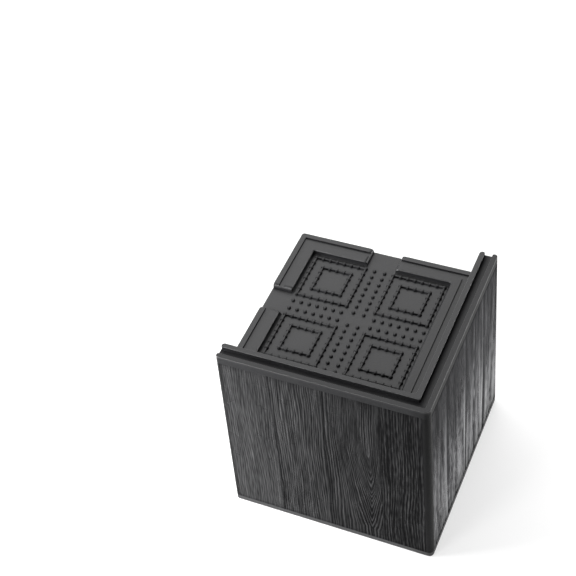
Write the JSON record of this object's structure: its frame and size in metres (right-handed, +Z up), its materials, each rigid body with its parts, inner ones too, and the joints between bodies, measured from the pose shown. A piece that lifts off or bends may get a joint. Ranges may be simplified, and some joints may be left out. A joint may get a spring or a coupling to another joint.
{
  "type": "bed riser",
  "caption": "Square hollow furniture riser with a framed, pipped platform, run-out channels on its open sides and an L-shaped stop wall; it lifts a bed or table leg.",
  "frame": {"origin": "middle of the base, on the floor that the riser stands on", "axes": "+Z up, in the direction of the lift; the stop wall runs along the -Y side (front) and the +X side (right), so the open sides are -X and +Y"},
  "size_m": [0.146, 0.146, 0.152],
  "materials": {
    "black_plastic": "satin moulded plastic, plain platform and walls, wood-grained sides"
  },
  "bodies": {
    "root": {"riser": "black_plastic"}
  },
  "joints": []
}
